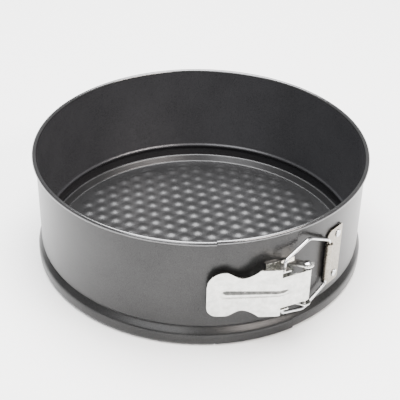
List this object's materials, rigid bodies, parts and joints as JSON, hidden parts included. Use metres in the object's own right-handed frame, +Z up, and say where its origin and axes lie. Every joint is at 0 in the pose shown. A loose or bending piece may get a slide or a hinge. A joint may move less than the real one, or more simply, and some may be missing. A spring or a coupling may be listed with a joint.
{
  "type": "springform pan",
  "caption": "Round springform cake pan with a lift-out base, a side band that opens at a lapped seam, and an over-centre toggle latch with a wire bail",
  "frame": {"origin": "on the pan's axis, in the plane that the base's underside rests on", "axes": "+Z up along the pan's axis, -Y towards the latch, at the outer end of the band's lapped seam"},
  "size_m": [0.2063, 0.2164, 0.072],
  "materials": {
    "band": "dark grey metallic non-stick coating on steel",
    "base": "dark grey metallic non-stick coating on steel, dimpled",
    "bracket": "nickel plated, satin",
    "lever": "bright plated pressing",
    "wire": "bright plated wire"
  },
  "bodies": {
    "catch_side": {"side_band_catch_half": "band", "catch_bracket": "bracket", "catch_rivet_upper": "bracket", "catch_rivet_lower": "bracket"},
    "latch_side": {"side_band_latch_half": "band", "hinge_bracket": "bracket", "hinge_pin": "wire"},
    "lever": {"lever": "lever"},
    "bail": {"bail": "wire"},
    "base": {"base": "base"}
  },
  "joints": [
    {"name": "ring_open", "type": "hinge", "parent": "catch_side", "child": "latch_side", "pos_m": [0, 0.1034, 0], "axis": [0, 0, -1], "range_deg": [0, 2.7]},
    {"name": "lever_pivot", "type": "hinge", "parent": "latch_side", "child": "lever", "pos_m": [0.00172, -0.10979, 0.038], "axis": [0, 0, 1], "range_deg": [0, 120]},
    {"name": "bail_pivot", "type": "hinge", "parent": "catch_side", "child": "bail", "pos_m": [0.02431, -0.10009, 0.038], "axis": [0, 0, 1], "range_deg": [0, 27.6]},
    {"name": "base_lift", "type": "slide", "parent": "catch_side", "child": "base", "axis": [0, 0, 1], "range_m": [0, 0.08]}
  ],
  "couplings": [
    {"joint": "ring_open", "follows": "lever_pivot", "ratio": 0.0225},
    {"joint": "bail_pivot", "follows": "lever_pivot", "ratio": 0.229}
  ]
}
